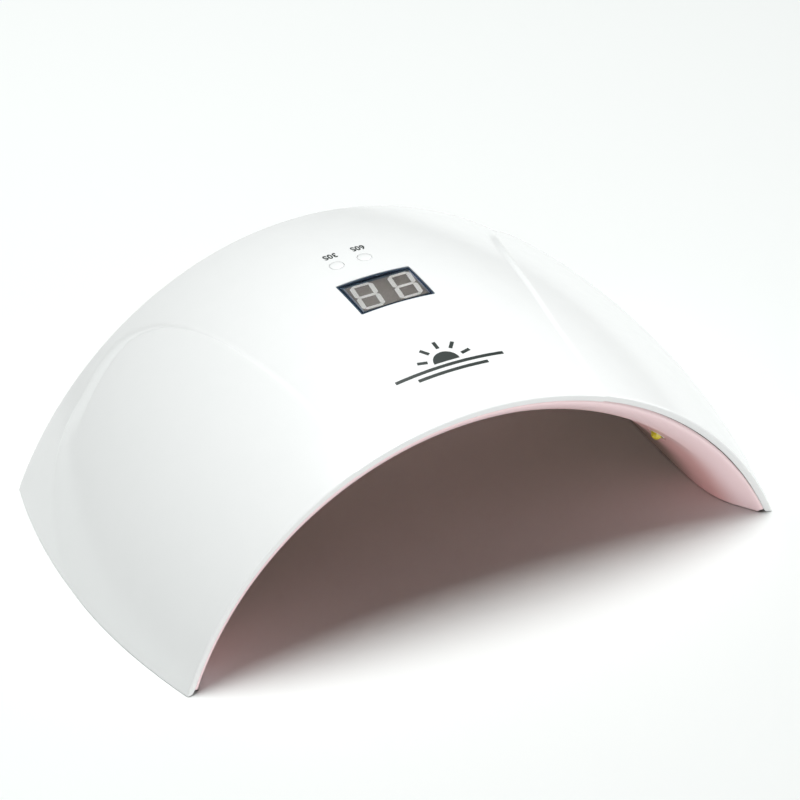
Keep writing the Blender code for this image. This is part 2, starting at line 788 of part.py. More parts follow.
def leads():
    top = BOARD_BOTTOM + BOARD_SIZE[2] + GAP + 0.6
    socket_back = SOCKET_REAR - SOCKET_SIZE[1] - GAP - 0.1
    for name, x, finish in (("lead_plus", -2.4, red), ("lead_minus", 2.4, dark)):
        route = [(x, socket_back, 57.0), (x * 1.1, 42.8, 58.2), (x * 1.3, 37.5, 59.6), (x * 1.4, 31.0, top)]
        lead(name, route, finish)
    end = above_strip("front", 0.15)
    route = [(12.0, -13.0, top), (12.6, -20.0, 60.4), (13.2, end.y + 8.0, end.z + 2.6), tuple(end)]
    lead("lead_strip_front", route, red)
    end = above_strip("rear", 0.15)
    route = [(14.0, 30.5, top), (14.3, 33.0, 60.0), (14.5, end.y - 2.5, end.z + 2.0), tuple(end)]
    lead("lead_strip_rear", route, red)
    route = [(-6.0, -14.0, top), (-5.4, -17.5, 60.6), (-3.4, -20.5, 59.8), (-1.0, -21.5, 56.6)]
    lead("lead_sensor", route, dark)


clear_scene()
lamp = collection("uv_curing_lamp")
cutters = collection("cutters")
cutters.hide_render = True
white = material("white_gloss_plastic", (0.86, 0.87, 0.87), 0.22)
pink = material("pink_gloss_plastic", (0.80, 0.50, 0.50), 0.3)
navy = material("navy_bezel", (0.03, 0.05, 0.12), 0.3)
smoke = material("smoked_window", (0.25, 0.27, 0.34), 0.1)
grey = material("display_face", (0.35, 0.34, 0.33), 0.5)
charcoal = material("charcoal_plastic", (0.08, 0.08, 0.08), 0.5)
black = material("black_plastic", (0.02, 0.02, 0.02), 0.4)
rubber = material("grey_rubber", (0.45, 0.45, 0.45), 0.8)
steel = material("plated_steel", (0.6, 0.6, 0.6), 0.3, 1.0)
green = material("board_laminate", (0.05, 0.25, 0.1), 0.5)
yellow = material("led_phosphor", (0.85, 0.75, 0.05), 0.3)
red = material("red_insulation", (0.6, 0.04, 0.03), 0.5)
dark = material("black_insulation", (0.02, 0.02, 0.02), 0.5)
can = material("aluminium_can", (0.75, 0.75, 0.77), 0.35, 1.0)
strip_white = material("strip_laminate", (0.9, 0.9, 0.88), 0.5)

outer_cover()
inner_liner()
for plate_name, plate_side in (("foot_plate_left", -1), ("foot_plate_right", 1)):
    foot_plate(plate_name, plate_side)
foot_pads()
screws()
display()
button_and_switch("30s", -1)
button_and_switch("60s", 1)
control_board()
led_strips()
leds()
presence_sensor()
dc_socket()
leads()
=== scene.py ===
"""The UV curing lamp's finish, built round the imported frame: white moulded cover with raised side panels, pink
liner with its LEDs, navy display surround with two seven-segment digits, and two white timer buttons.

Lengths are in millimetres and become metres through MM. The frame has -Y at the front and the table at z 0."""

import math

import bmesh
import bpy
import numpy as np
from mathutils import Matrix, Vector


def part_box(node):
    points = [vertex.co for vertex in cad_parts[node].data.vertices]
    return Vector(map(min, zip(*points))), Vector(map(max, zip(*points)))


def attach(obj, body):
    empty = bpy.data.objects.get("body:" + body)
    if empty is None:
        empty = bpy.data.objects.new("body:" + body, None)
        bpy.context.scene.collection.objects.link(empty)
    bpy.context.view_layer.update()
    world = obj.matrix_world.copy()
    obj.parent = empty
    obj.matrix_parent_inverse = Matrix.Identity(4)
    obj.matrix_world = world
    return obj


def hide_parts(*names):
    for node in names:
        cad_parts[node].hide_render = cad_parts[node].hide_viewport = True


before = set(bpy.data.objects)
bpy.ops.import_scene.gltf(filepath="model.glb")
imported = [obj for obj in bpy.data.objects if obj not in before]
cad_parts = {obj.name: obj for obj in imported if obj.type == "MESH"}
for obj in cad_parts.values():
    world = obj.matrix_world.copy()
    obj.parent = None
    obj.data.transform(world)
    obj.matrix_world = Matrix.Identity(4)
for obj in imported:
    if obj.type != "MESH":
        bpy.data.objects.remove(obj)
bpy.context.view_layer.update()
MM = 0.001

# ---------------------------------------------------------------- the cover's form, as the frame has it
FOOT_DEPTH = 111.3
CROWN_SETBACK = 4.8
CROWN_OVERHANG = 9.5
HALF_WIDTHS = (94.1, 103.2, 97.2)
CROWN_HEIGHTS = (63.5, 69.3, 60.7)
PAD_HEIGHT = 0.5
EDGE_GAP = 0.22  # from the lower edges of the cover and the liner to the table
FOOT_ROW_HEIGHT = 0.85  # points of a wall below this belong to its lower edge
LEG_STRAIGHTNESS = (-0.075, 0.12, 0.12)
COVER_WALL = 2.2
SKIN_INSET = 0.08  # keeps the fine surface inside the frame's flat faces
Y_FRONT = -(FOOT_DEPTH + CROWN_OVERHANG) / 2
RIM_REACH = 6.0  # a wall's inner face has no row of points nearer to a rim than this
OPENING_TOOL_LENGTH, OPENING_TOOL_Z = 14.0, 68.0  # what opens the crown for the window and the buttons

# Edge of a raised side panel: distance from the crown round the arch, depth from the front, width of its slope.
PANEL_EDGE = (
    (40.0, -3.0, 1.0),
    (39.9, 13.0, 1.0),
    (41.0, 32.0, 1.0),
    (44.8, 55.0, 1.0),
    (47.5, 70.0, 1.3),
    (51.0, 85.0, 2.2),
    (54.8, 95.0, 3.5),
    (60.3, 102.3, 5.6),
    (66.5, 106.2, 7.6),
    (75.4, 105.8, 7.6),
    (84.3, 103.0, 7.2),
    (96.5, 99.8, 9.0),
    (105.6, 95.7, 14.0),
    (113.3, 89.2, 22.0),
    (120.5, 81.0, 28.0),
    (127.5, 71.0, 30.0),
    (132.0, 60.0, 30.0),
    (140.0, 44.0, 30.0),
)
PANEL_RISE_FRONT = 0.3
PANEL_RISE_REAR = 1.3
PANEL_REAR_DEPTH = 105.0
PANEL_SOFT_TO, PANEL_CRISP_FROM = 88.0, 100.0  # the slope starts softly above, and with a crisp line below

# ---------------------------------------------------------------- the liner's form
LINER_WALL = 1.8
LINER_INSET = 4.35
LINER_SETBACK = 0.8
LINER_LENGTH = FOOT_DEPTH - 2 * LINER_SETBACK
LINER_FOOT_HALF_WIDTH = 79.5
LINER_FOOT_FLARE = 9.0
LIP_DEPTH = 6.5
RIDGE_DROP_FRONT = 4.9
RIDGE_DROP_REAR = 3.0
LINER_CROWN = 47.0
RIDGE_FADE = 14.0
LINER_CREASE = 14.0  # degrees; the ridge behind each lip is a crisp line

# ---------------------------------------------------------------- display, buttons, LEDs, socket
WINDOW_SIZE = (23.6, 16.9)
WINDOW_Y = 3.4
GAP = 0.3
BEZEL_WALL = 0.7
BEZEL_DEPTH = 2.6
DISPLAY_BODY_TOP = 66.1
DISPLAY_FACE = 68.4
BEZEL_GAP = 0.12  # between the bezel and the window's edge, and below the skin
LENS_DROP = 0.15
LENS_THICKNESS = 0.35
DISPLAY_BASE = (22.0, 15.3)
DISPLAY_PLATE = (20.6, 12.7)
DIGITS_AT = (0.45, 3.65)
DIGIT_PITCH = 12.1
DIGIT_SIZE = (7.4, 12.3)
UPRIGHT_STROKE, LEVEL_STROKE = 1.4, 1.0
DIGIT_LEAN = 6.0  # degrees
BUTTON_Y = 22.1
BUTTON_PITCH = 9.0
BUTTON_MIDDLE_X = -1.7
BUTTON_RADIUS = 2.1
BUTTON_HOLE_RADIUS = 2.28
BUTTON_RISE = 0.12  # a cap's rim above the skin
BUTTON_EDGE_RADIUS = 0.22
STRIP_DEPTHS = {"front": 0.135, "middle": 0.5, "rear": 0.815}
LED_TURNS = {"far_left": -0.7, "left": -0.35, "centre": 0.0, "right": 0.35, "far_right": 0.7}
LED_HOLE_RADIUS = 3.1
LED_DOME_RADIUS = 1.75
SENSOR_DEPTH = 0.31
SENSOR_HOLE_RADIUS = 2.8
SOCKET_SIZE = (9.0, 13.0, 9.0)
SOCKET_REAR = 59.6
SOCKET_TOP = 58.2
SOCKET_BORE = 3.15

# ---------------------------------------------------------------- print on the cover
LABELS = {"label_30s": ("30S", (-5.4, 28.1)), "label_60s": ("60S", (3.7, 28.4))}
LABEL_SIZE = 3.75
LABEL_BOLDER = 0.08
LABEL_WIDTH_SHARE = 0.76
MARK_AT = (0.0, -34.6)
MARK_RADIUS = 4.0
RAY_SIZE = (3.0, 1.1)
RAY_FROM_MIDDLE = 7.1
RAY_PITCH = 37  # degrees
RULED_LINES = ((34.0, 1.5), (22.0, 3.9))  # length, and how far it is below the half disc
RULED_WIDTH = 1.15
PRINT_LIFT = 0.06


# ================================================================ surfaces
def through(values, share):
    """The quadratic that takes three values at 0, a half and 1."""
    front, middle, rear = values
    return (
        front * (share - 0.5) * (share - 1) * 2
        - middle * share * (share - 1) * 4
        + rear * share * (share - 0.5) * 2
    )


def arch(half_width, height, turn, share):
    radius = (half_width**2 + height**2) / (2 * height)
    angle = np.arcsin(half_width / radius) * turn
    x = radius * np.sin(angle)
    round_z = radius * np.cos(angle) - (radius - height)
    bowed_z = height * (1 - (x / half_width) ** 2)
    bowed = through(LEG_STRAIGHTNESS, share)
    return x, (1 - bowed) * round_z + bowed * bowed_z


def depth_at(share, lift):
    lean = CROWN_SETBACK * (1 - share) + CROWN_OVERHANG * share
    return Y_FRONT + share * FOOT_DEPTH + lean * lift


def plain_skin(turn, share):
    half_width, height = through(HALF_WIDTHS, share), through(CROWN_HEIGHTS, share)
    x, z = arch(half_width, height, turn, share)
    return np.stack([x, depth_at(share, z / height), PAD_HEIGHT + z], axis=-1)


def normals_of(surface, turn, share):
    step = 1e-3
    across = surface(turn + step, share) - surface(turn - step, share)
    back = surface(turn, share + step) - surface(turn, share - step)
    normal = np.cross(across, back)
    return normal / np.linalg.norm(normal, axis=-1, keepdims=True)


def between(before, start, end, after, k):
    """The value at share k of the way from start to end, on a smooth curve through all four."""
    rise = (end - before) * k
    bend = (2 * before - 5 * start + 4 * end - after) * k**2
    turn = (3 * start - before - 3 * end + after) * k**3
    return 0.5 * (2 * start + rise + bend + turn)


def smooth_run(points, steps):
    """A smooth curve through points of any size, with steps points to each stretch."""
    ends = [points[0], *points, points[-1]]
    run = []
    for stretch in zip(ends, ends[1:], ends[2:], ends[3:]):
        for step in range(steps):
            run.append([between(*values, step / steps) for values in zip(*stretch)])
    run.append(list(points[-1]))
    return run


def panel_rise(round_arch, depth):
    """How far the raised side panel stands out of the plain arch."""
    nearest = np.full(round_arch.shape, 1e9)
    inside = np.zeros(round_arch.shape)
    width = np.ones(round_arch.shape)
    edge = smooth_run(PANEL_EDGE, 8)
    for (ax, ay, aw), (bx, by, bw) in zip(edge, edge[1:]):
        dx, dy = bx - ax, by - ay
        length = dx * dx + dy * dy
        if length < 1e-9:
            continue
        along = np.clip(((round_arch - ax) * dx + (depth - ay) * dy) / length, 0, 1)
        away = np.hypot(round_arch - ax - along * dx, depth - ay - along * dy)
        closer = away < nearest
        nearest = np.where(closer, away, nearest)
        width = np.where(closer, aw + along * (bw - aw), width)
        inside = np.where(closer, (round_arch - ax) * dy - (depth - ay) * dx, inside)
    ramp = np.clip(nearest / width, 0, 1)
    crisp = np.clip((round_arch - PANEL_SOFT_TO) / (PANEL_CRISP_FROM - PANEL_SOFT_TO), 0, 1)
    ramp = (1 - crisp) * ramp**1.5 + crisp * (1 - (1 - ramp) ** 3)
    share_back = np.clip(depth / PANEL_REAR_DEPTH, 0, 1)
    rise = PANEL_RISE_FRONT + (PANEL_RISE_REAR - PANEL_RISE_FRONT) * share_back**1.5
    return np.where(inside > 0, rise * ramp, 0.0)


def skin(turn, share, out):
    """Points of the cover's outer face, moved out along the normal."""
    half_width, height = through(HALF_WIDTHS, share), through(CROWN_HEIGHTS, share)
    radius = (half_width**2 + height**2) / (2 * height)
    round_arch = np.abs(turn) * radius * np.arcsin(half_width / radius)
    lift = panel_rise(round_arch, share * FOOT_DEPTH) - SKIN_INSET + out
    return plain_skin(turn, share) + normals_of(plain_skin, turn, share) * lift[..., None]


def fade(distance, half):
    return 1 / (1 + (distance / half) ** 2)


def liner_face(turn, share):
    """Points of the face that lines the tunnel."""
    from_front, from_rear = share * LINER_LENGTH, (1 - share) * LINER_LENGTH
    flare_front = HALF_WIDTHS[0] - LINER_INSET - LINER_FOOT_HALF_WIDTH
    flare_rear = HALF_WIDTHS[2] - LINER_INSET - LINER_FOOT_HALF_WIDTH
    half_width = (
        LINER_FOOT_HALF_WIDTH
        + flare_front * fade(from_front, LINER_FOOT_FLARE)
        + flare_rear * fade(from_rear, LINER_FOOT_FLARE)
    )
    height = LINER_CROWN
    for rim, drop, distance in (
        (CROWN_HEIGHTS[0] - LINER_INSET, RIDGE_DROP_FRONT, from_front),
        (CROWN_HEIGHTS[2] - LINER_INSET, RIDGE_DROP_REAR, from_rear),
    ):
        ridge = rim - drop
        height = height + (ridge - LINER_CROWN) * fade(np.maximum(0.0, distance - LIP_DEPTH), RIDGE_FADE)
        height = height + drop * np.maximum(0.0, 1 - distance / LIP_DEPTH)
    x, z = arch(half_width, height, turn, share)
    cover_share = (LINER_SETBACK + share * LINER_LENGTH) / FOOT_DEPTH
    return np.stack([x, depth_at(cover_share, z / height), PAD_HEIGHT + z], axis=-1)


def liner(turn, share, out):
    """Points of the liner's wall, moved out along the normal of the face that lines the tunnel."""
    return liner_face(turn, share) + normals_of(liner_face, turn, share) * out[..., None]


def skin_height(x, y):
    """z of the cover's plain outer face above points near the crown."""
    x, y = np.asarray(x, float), np.asarray(y, float)
    low, high = np.zeros(x.shape), np.ones(x.shape)
    for _ in range(40):
        share = (low + high) / 2
        half_width, height = through(HALF_WIDTHS, share), through(CROWN_HEIGHTS, share)
        radius = (half_width**2 + height**2) / (2 * height)
        point = plain_skin(np.arcsin(x / radius) / np.arcsin(half_width / radius), share)
        short = point[..., 1] < y
        low, high = np.where(short, share, low), np.where(short, high, share)
    return point[..., 2] - SKIN_INSET


def facing(turn, share):
    """A frame on the liner's visible face: +Z into the tunnel, +X round the arch."""
    turn, share = np.asarray(turn, float), np.asarray(share, float)
    normal = Vector(normals_of(liner_face, turn, share))
    ahead, behind = liner_face(turn + 0.01, share), liner_face(turn - 0.01, share)
    down = -normal
    side = down.cross(Vector(ahead - behind)).normalized()
    along = side.cross(down)
    place = Matrix((along, side, down)).transposed().to_4x4()
    place.translation = Vector(liner_face(turn, share)) * MM
    return place


# ================================================================ mesh helpers
def finished(bm, name, body="housing", material=None, replaces=(), smooth_angle=40.0):
    mesh = bpy.data.meshes.new(name)
    bm.normal_update()
    bm.to_mesh(mesh)
    bm.free()
    obj = bpy.data.objects.new(name, mesh)
    bpy.context.scene.collection.objects.link(obj)
    mesh.shade_smooth()
    mesh.set_sharp_from_angle(angle=math.radians(smooth_angle))
    for finish in material if isinstance(material, (list, tuple)) else [material]:
        if finish is not None:
            mesh.materials.append(finish)
    if body is not None:
        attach(obj, body)
    if replaces:
        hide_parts(*replaces)
    return obj


def spaced(*stretches):
    """Values along stretches of (start, end, spacing), with the last end."""
    values = []
    for start, end, spacing in stretches:
        count = max(1, round((end - start) / spacing))
        values += [start + (end - start) * i / count for i in range(count)]
    return values + [stretches[-1][1]]


def sheet_of(place, columns, rows):
    """A grid whose points are placed by place(column values, row values)."""
    bm = bmesh.new()
    bmesh.ops.create_grid(bm, x_segments=len(columns) - 1, y_segments=len(rows) - 1, size=1.0)
    verts = list(bm.verts)
    where = np.array([v.co[:2] for v in verts])
    column = np.rint((where[:, 0] + 1) / 2 * (len(columns) - 1)).astype(int)
    row = np.rint((where[:, 1] + 1) / 2 * (len(rows) - 1)).astype(int)
    for vert, point in zip(verts, place(column, row)):
        vert.co = point
    return bm


def corner(centre, radius, start, end, steps=4):
    """Points of (depth, out) round a corner, angles in degrees from the depth direction towards out.
    The radius may be a pair, along the depth and out."""
    along, out = radius if isinstance(radius, tuple) else (radius, radius)
    turns = [math.radians(start + (end - start) * i / steps) for i in range(steps + 1)]
    return [(centre[0] + along * math.cos(a), centre[1] + out * math.sin(a)) for a in turns]


def wall_profile(length, face_rows, back_rows, face_out, back_out, round_face, round_back, rim_back_out=None):
    """A closed run of (depth, out) round a wall's section: its face, one rim, its back and the other rim.
    round_face is how far the face's rounding reaches along the depth and out."""
    side = 1 if face_out > back_out else -1
    rim_out = back_out if rim_back_out is None else rim_back_out
    reach, rise = round_face
    run = [(d, face_out) for d in face_rows if reach < d < length - reach]
    run += corner((length - reach, face_out - side * rise), (reach, rise), side * 90, 0, 8)
    run += corner((length - round_back, rim_out + side * round_back), round_back, 0, -side * 90)
    run += [(d, back_out) for d in reversed(back_rows) if RIM_REACH < d < length - RIM_REACH]
    run += corner((round_back, rim_out + side * round_back), round_back, -side * 90, -side * 180)
    run += corner((reach, face_out - side * rise), (reach, rise), side * 180, side * 90, 8)
    return run + [run[0]]


def shell(surface, turns, profile, length):
    """A closed wall over an arch: a section swept round the arch, with its two feet levelled and closed."""
    turns, section = np.array(turns), np.array(profile)

    def place(column, row):
        points = surface(turns[column], section[row, 0] / length, section[row, 1])
        points[:, 2] = np.where(points[:, 2] < FOOT_ROW_HEIGHT, EDGE_GAP, points[:, 2])
        return points * MM

    bm = sheet_of(place, turns, profile)
    bmesh.ops.remove_doubles(bm, verts=bm.verts[:], dist=0.000002)
    open_edges = [e for e in bm.edges if e.is_boundary]
    bmesh.ops.holes_fill(bm, edges=open_edges, sides=0)
    bmesh.ops.recalc_face_normals(bm, faces=bm.faces[:])
    return bm


def box(bm, size, centre):
    place = Matrix.Translation(Vector(centre) * MM) @ Matrix.Diagonal((*(Vector(size) * MM), 1.0))
    return bmesh.ops.create_cube(bm, size=1.0, matrix=place)["verts"]


def rounded_box(bm, size, centre, radius, upright_only=False, segments=3):
    verts = box(bm, size, centre)
    edges = {e for v in verts for e in v.link_edges}
    if upright_only:
        edges = {e for e in edges if abs((e.verts[0].co - e.verts[1].co).normalized().z) > 0.9}
    bmesh.ops.bevel(
        bm, geom=list(edges), offset=radius * MM, segments=segments, profile=0.5, affect="EDGES", material=-1
    )


def spun(profile, steps=48):
    """A turned piece about Z in millimetres; the profile runs from the axis to the axis."""
    bm = bmesh.new()
    verts = [bm.verts.new((radius * MM, 0.0, height * MM)) for radius, height in profile]
    edges = [bm.edges.new(pair) for pair in zip(verts, verts[1:])]
    bmesh.ops.spin(
        bm, geom=verts + edges, axis=(0, 0, 1), cent=(0, 0, 0), steps=steps, angle=math.tau, use_merge=True
    )
    bmesh.ops.remove_doubles(bm, verts=bm.verts[:], dist=0.000001)
    bmesh.ops.recalc_face_normals(bm, faces=bm.faces[:])
    return bm


def arc_run(radius_centre, height_centre, radius, start, end, steps):
    """Points of (radius, height) round an arc for a turned profile, angles in degrees from the radius upwards."""
    turns = [math.radians(start + (end - start) * i / steps) for i in range(steps + 1)]
    return [(radius_centre + radius * math.cos(a), height_centre + radius * math.sin(a)) for a in turns]


def cut(obj, tools, operation="DIFFERENCE", smooth_angle=40.0):
    """Cuts obj with each tool and keeps the result as its mesh."""
    for cutter in tools:
        modifier = obj.modifiers.new("cut", "BOOLEAN")
        modifier.operation = operation
        modifier.object = cutter
        modifier.solver = "EXACT"
    bpy.context.view_layer.update()
    made = bpy.data.meshes.new_from_object(obj.evaluated_get(bpy.context.evaluated_depsgraph_get()))
    obj.modifiers.clear()
    obj.data = made
    for cutter in tools:
        bpy.data.objects.remove(cutter)
    made.shade_smooth()
    made.set_sharp_from_angle(angle=math.radians(smooth_angle))


def tool(bm, name):
    return finished(bm, name, body=None)


def rod_tool(name, radius, length, place, segments):
    """A round tool along the Z of place, with its middle there."""
    bm = bmesh.new()
    ends = {"radius1": radius * MM, "radius2": radius * MM, "depth": length * MM}
    bmesh.ops.create_cone(bm, cap_ends=True, segments=segments, matrix=place, **ends)
    return tool(bm, name)


# ================================================================ finishes
def node_group(name, inputs, outputs, build):
    group = bpy.data.node_groups.new(name, "ShaderNodeTree")
    for label, kind, value in inputs:
        socket = group.interface.new_socket(label, in_out="INPUT", socket_type=kind)
        socket.default_value = value
    for label, kind in outputs:
        group.interface.new_socket(label, in_out="OUTPUT", socket_type=kind)
    start, end = group.nodes.new("NodeGroupInput"), group.nodes.new("NodeGroupOutput")
    build(group, start.outputs, end.inputs)
    return group


def noise(tree, vector, scale, detail=3.0, roughness=0.5):
    made = tree.nodes.new("ShaderNodeTexNoise")
    made.inputs["Detail"].default_value = detail
    made.inputs["Roughness"].default_value = roughness
    tree.links.new(vector, made.inputs["Vector"])
    if isinstance(scale, float):
        made.inputs["Scale"].default_value = scale
    else:
        tree.links.new(scale, made.inputs["Scale"])
    return made.outputs["Fac"]


def maths(tree, operation, *values, clamp=False):
    made = tree.nodes.new("ShaderNodeMath")
    made.operation = operation
    made.use_clamp = clamp
    for socket, value in zip(made.inputs, values):
        if isinstance(value, (int, float)):
            socket.default_value = value
        else:
            tree.links.new(value, socket)
    return made.outputs[0]


def mixed(tree, share, a, b):
    made = tree.nodes.new("ShaderNodeMix")
    made.data_type = "RGBA"
    for socket, value in ((made.inputs[0], share), (made.inputs[6], a), (made.inputs[7], b)):
        if isinstance(value, tuple):
            socket.default_value = (*value, 1.0)
        elif isinstance(value, (int, float)):
            socket.default_value = value
        else:
            tree.links.new(value, socket)
    return made.outputs[2]


def object_coords(tree):
    return tree.nodes.new("ShaderNodeTexCoord").outputs["Object"]


def build_moulded(group, given, gives):
    """Moulded plastic: slow shade drift, faint flow mottling, fine dust and a satin micro-texture."""
    place = given["Vector"]
    drift = noise(group, place, 14.0, 2.0)
    mottle = noise(group, place, 160.0, 4.0, 0.6)
    grain = noise(group, place, given["Grain Scale"], 3.0, 0.6)
    specks = maths(group, "GREATER_THAN", noise(group, place, 900.0, 2.0, 0.7), 0.76)
    mottling = maths(group, "SUBTRACT", mottle, 0.5)
    shade = maths(group, "MULTIPLY_ADD", maths(group, "SUBTRACT", drift, 0.5), given["Drift"], 0.5)
    shade = maths(group, "ADD", shade, maths(group, "MULTIPLY", mottling, given["Mottle"]))
    colour = mixed(group, shade, given["Deep"], given["Pale"])
    dusty = maths(group, "MULTIPLY", specks, given["Dust"])
    group.links.new(mixed(group, dusty, colour, (0.72, 0.71, 0.69)), gives["Color"])
    rough = maths(group, "ADD", given["Roughness"], maths(group, "MULTIPLY", mottling, 0.12))
    rough = maths(group, "ADD", rough, maths(group, "MULTIPLY", dusty, 0.3), clamp=True)
    group.links.new(rough, gives["Roughness"])
    height = maths(group, "MULTIPLY", grain, given["Grain"])
    height = maths(group, "ADD", height, maths(group, "MULTIPLY", drift, given["Ripple"]))
    group.links.new(height, gives["Height"])


MOULDED = node_group(
    "moulded_plastic",
    [
        ("Vector", "NodeSocketVector", (0, 0, 0)),
        ("Deep", "NodeSocketColor", (0.8, 0.8, 0.8, 1)),
        ("Pale", "NodeSocketColor", (0.9, 0.9, 0.9, 1)),
        ("Roughness", "NodeSocketFloat", 0.3),
        ("Drift", "NodeSocketFloat", 1.0),
        ("Mottle", "NodeSocketFloat", 0.6),
        ("Dust", "NodeSocketFloat", 0.0),
        ("Grain Scale", "NodeSocketFloat", 2500.0),
        ("Grain", "NodeSocketFloat", 0.2),
        ("Ripple", "NodeSocketFloat", 0.0),
    ],
    [("Color", "NodeSocketColor"), ("Roughness", "NodeSocketFloat"), ("Height", "NodeSocketFloat")],
    build_moulded,
)


def shader_of(name):
    material = bpy.data.materials.new(name)
    material.use_nodes = True
    return material, material.node_tree, material.node_tree.nodes["Principled BSDF"]


def moulded(name, deep, pale, roughness, bump=0.02, coat=0.0, tint=None, **values):
    """A moulded plastic. tint(tree, colour) may shade the colour further."""
    material, tree, shader = shader_of(name)
    group = tree.nodes.new("ShaderNodeGroup")
    group.node_tree = MOULDED
    group.inputs["Deep"].default_value = (*deep, 1)
    group.inputs["Pale"].default_value = (*pale, 1)
    group.inputs["Roughness"].default_value = roughness
    for label, value in values.items():
        group.inputs[label.replace("_", " ").title()].default_value = value
    tree.links.new(object_coords(tree), group.inputs["Vector"])
    colour = group.outputs["Color"]
    if tint is not None:
        colour = tint(tree, colour)
    tree.links.new(colour, shader.inputs["Base Color"])
    tree.links.new(group.outputs["Roughness"], shader.inputs["Roughness"])
    relief = tree.nodes.new("ShaderNodeBump")
    relief.inputs["Strength"].default_value = bump
    relief.inputs["Distance"].default_value = 0.0004
    tree.links.new(group.outputs["Height"], relief.inputs["Height"])
    tree.links.new(relief.outputs["Normal"], shader.inputs["Normal"])
    shader.inputs["IOR"].default_value = 1.53
    shader.inputs["Coat Weight"].default_value = coat
    shader.inputs["Coat Roughness"].default_value = 0.08
    return material


def liner_tint_and_painted_shade(tree, colour):
    """Colours the liner: pale at its two lips and a deeper pink behind them; the dull dark brown in the middle is
    painted shade.
    """
    place = tree.nodes.new("ShaderNodeSeparateXYZ")
    tree.links.new(object_coords(tree), place.inputs[0])
    lift = maths(tree, "DIVIDE", place.outputs["Z"], CROWN_HEIGHTS[0] * MM)
    front = maths(tree, "SUBTRACT", place.outputs["Y"], maths(tree, "MULTIPLY", lift, CROWN_SETBACK * MM))
    front = maths(tree, "ADD", front, -Y_FRONT * MM)
    rear = maths(tree, "SUBTRACT", maths(tree, "MULTIPLY", lift, CROWN_OVERHANG * MM), place.outputs["Y"])
    rear = maths(tree, "ADD", rear, (Y_FRONT + FOOT_DEPTH) * MM)
    nearest = maths(tree, "MINIMUM", front, rear)
    # Stops in from the nearer lip: the deeper pink from 4 to 14 mm, then painted shade, a dull dark brown, from
    # 16 to 36 mm.
    for start, end, deeper in ((4.0, 14.0, (0.74, 0.43, 0.42)), (16.0, 36.0, (0.30, 0.21, 0.175))):
        share = tree.nodes.new("ShaderNodeMapRange")
        share.interpolation_type = "SMOOTHSTEP"
        share.inputs["From Min"].default_value = start * MM
        share.inputs["From Max"].default_value = end * MM
        tree.links.new(nearest, share.inputs["Value"])
        colour = mixed(tree, share.outputs["Result"], colour, deeper)
    return colour


def brushed(name, dark, light, roughness):
    """Plated metal with fine drawn lines."""
    material, tree, shader = shader_of(name)
    stretch = tree.nodes.new("ShaderNodeMapping")
    stretch.inputs["Scale"].default_value = (40.0, 40.0, 1500.0)
    tree.links.new(object_coords(tree), stretch.inputs["Vector"])
    lines = noise(tree, stretch.outputs[0], 1.0, 3.0)
    tree.links.new(mixed(tree, lines, dark, light), shader.inputs["Base Color"])
    tree.links.new(maths(tree, "MULTIPLY_ADD", lines, 0.2, roughness), shader.inputs["Roughness"])
    shader.inputs["Metallic"].default_value = 1.0
    return material


def clear(name, colour, roughness, ior=1.49):
    """Clear moulded acrylic with a faint haze."""
    material, tree, shader = shader_of(name)
    haze = noise(tree, object_coords(tree), 220.0, 3.0)
    deeper = tuple(c * 0.93 for c in colour)
    tree.links.new(mixed(tree, haze, deeper, colour), shader.inputs["Base Color"])
    tree.links.new(maths(tree, "MULTIPLY_ADD", haze, 0.03, roughness), shader.inputs["Roughness"])
    shader.inputs["IOR"].default_value = ior
    shader.inputs["Transmission Weight"].default_value = 1.0
    return material


cover_values = {"bump": 0.03, "coat": 0.25, "drift": 0.8, "mottle": 0.5, "dust": 0.05}
white = moulded("cover_white", (0.83, 0.845, 0.845), (0.87, 0.88, 0.88), 0.24, **cover_values)
# The liner's tint paints shade into the middle of the tunnel.
liner_values = {"bump": 0.04, "tint": liner_tint_and_painted_shade, "drift": 0.7, "mottle": 0.5}
pink = moulded("liner_pink_with_painted_shade", (0.84, 0.64, 0.66), (0.90, 0.71, 0.73), 0.32, **liner_values)
navy = moulded("surround_navy", (0.025, 0.042, 0.07), (0.042, 0.068, 0.108), 0.25, coat=0.3)
slate = moulded("display_slate", (0.045, 0.075, 0.11), (0.065, 0.105, 0.15), 0.3, coat=0.3)
pale_edge = moulded("display_edge", (0.30, 0.34, 0.44), (0.42, 0.46, 0.56), 0.3)
face_grey = moulded("display_face_grey", (0.22, 0.19, 0.165), (0.33, 0.30, 0.275), 0.45, mottle=1.2)
segment_grey = moulded("segment_pale", (0.88, 0.85, 0.80), (0.95, 0.93, 0.89), 0.4)
charcoal = moulded("charcoal_case", (0.03, 0.03, 0.03), (0.06, 0.06, 0.06), 0.5, bump=0.1, grain=0.5)
black = moulded("socket_black", (0.012, 0.012, 0.012), (0.03, 0.03, 0.03), 0.38, bump=0.08)
ink = moulded("print_ink", (0.018, 0.026, 0.024), (0.03, 0.04, 0.037), 0.5)
rubber = moulded("pad_rubber", (0.30, 0.30, 0.30), (0.42, 0.42, 0.42), 0.75, bump=0.2, grain=0.8, dust=0.4)
red = moulded("lead_red", (0.45, 0.02, 0.015), (0.6, 0.04, 0.03), 0.45)
dark = moulded("lead_black", (0.015, 0.015, 0.015), (0.03, 0.03, 0.03), 0.45)
mask_green = moulded("board_green", (0.012, 0.10, 0.035), (0.025, 0.17, 0.06), 0.35, coat=0.5, mottle=1.0)
mask_white = moulded("strip_white", (0.75, 0.75, 0.72), (0.85, 0.85, 0.83), 0.4)
phosphor = moulded("led_yellow", (0.62, 0.50, 0.01), (0.80, 0.68, 0.03), 0.25, coat=0.6)
